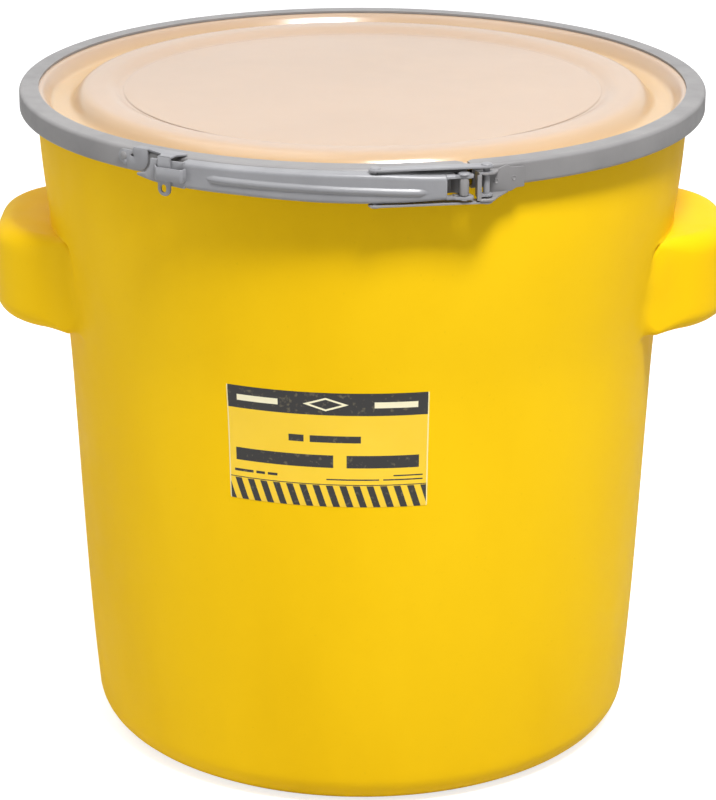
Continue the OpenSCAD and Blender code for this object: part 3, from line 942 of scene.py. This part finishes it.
def dress_cad():
    """CAD nodes that are shown as they are get softened edges and a material."""
    for node, material in (("link_spacer", STEEL), ("lid_gasket", rubber())):
        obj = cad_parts[node]
        obj.data.materials.clear()
        obj.data.materials.append(material)
        bevel = obj.modifiers.new("edges", "BEVEL")
        bevel.width = 0.3 * MM
        bevel.segments = 2
        bevel.limit_method = "ANGLE"
        bevel.angle_limit = radians(40)


# ---------------------------------------------------------------- floor, lights, camera
def build_stage():
    bm = bmesh.new()
    bmesh.ops.create_grid(bm, x_segments=8, y_segments=8, size=30.0)
    m, tree, shader = nodes_of("floor")
    tree.links.new(ramp(tree, noise(tree, 3, 2), [(0.3, 0.53), (0.7, 0.55)]),
                   shader.inputs["Base Color"])
    shader.inputs["Roughness"].default_value = 0.7
    # the sweep is burnt out to white where the camera sees it, but adds no light of its own
    seen = tree.nodes.new("ShaderNodeLightPath").outputs["Is Camera Ray"]
    tree.links.new(seen, shader.inputs["Emission Strength"])
    shader.inputs["Emission Color"].default_value = (0.75, 0.75, 0.75, 1)
    floor = finish_mesh("floor", bm, m)


def area(name, at, size, power):
    """A white rectangular light that faces the drum's middle."""
    data = bpy.data.lights.new(name, "AREA")
    data.shape = "RECTANGLE"
    data.size, data.size_y = size
    data.energy = power
    obj = bpy.data.objects.new(name, data)
    obj.location = at
    obj.rotation_euler = (Vector((0, 0, 0.3)) - Vector(at)).to_track_quat("-Z", "Y").to_euler()
    scene.collection.objects.link(obj)


def build_light():
    world = bpy.data.worlds.new("studio")
    scene.world = world
    world.use_nodes = True
    tree = world.node_tree
    back = tree.nodes["Background"]
    # bright behind the object and dim behind the camera, as in a studio
    coords = tree.nodes.new("ShaderNodeTexCoord")
    split = tree.nodes.new("ShaderNodeSeparateXYZ")
    tree.links.new(coords.outputs["Generated"], split.inputs[0])
    fade = tree.nodes.new("ShaderNodeMapRange")
    fade.inputs["From Min"].default_value = -0.7
    fade.inputs["From Max"].default_value = 0.8
    fade.inputs["To Min"].default_value = 0.22
    fade.inputs["To Max"].default_value = 0.95
    tree.links.new(split.outputs[1], fade.inputs["Value"])
    tree.links.new(fade.outputs[0], back.inputs[1])
    back.inputs[0].default_value = (1.0, 1.0, 1.0, 1)
    area("key", (0.55, -1.4, 2.62), (0.7, 0.5), 92)
    area("fill", (-2.7, -1.2, 0.6), (1.2, 1.4), 15)
    area("top", (-0.9, 0.0, 2.4), (1.8, 1.4), 12)


def build_camera():
    data = bpy.data.cameras.new("camera")
    data.sensor_width = 36.0
    data.sensor_fit = "AUTO"
    data.lens = 137.143
    data.shift_x, data.shift_y = -0.00434, 0.02005
    data.clip_start, data.clip_end = 0.1, 50
    camera = bpy.data.objects.new("camera", data)
    look_down, roll = radians(19.780), 0.00294
    camera.matrix_world = (Matrix.Translation((0, -2.33016, 1.08248))
                           @ Matrix.Rotation(pi / 2 - look_down, 4, "X")
                           @ Matrix.Rotation(roll, 4, "Z"))
    scene.collection.objects.link(camera)
    scene.camera = camera


scene.view_settings.view_transform = "Standard"
build_drum()
build_lid()
build_ring()
build_label()
build_lever()
build_pins()
build_links()
build_latch()
build_left_lug()
build_right_lug()
dress_cad()
build_stage()
build_light()
build_camera()
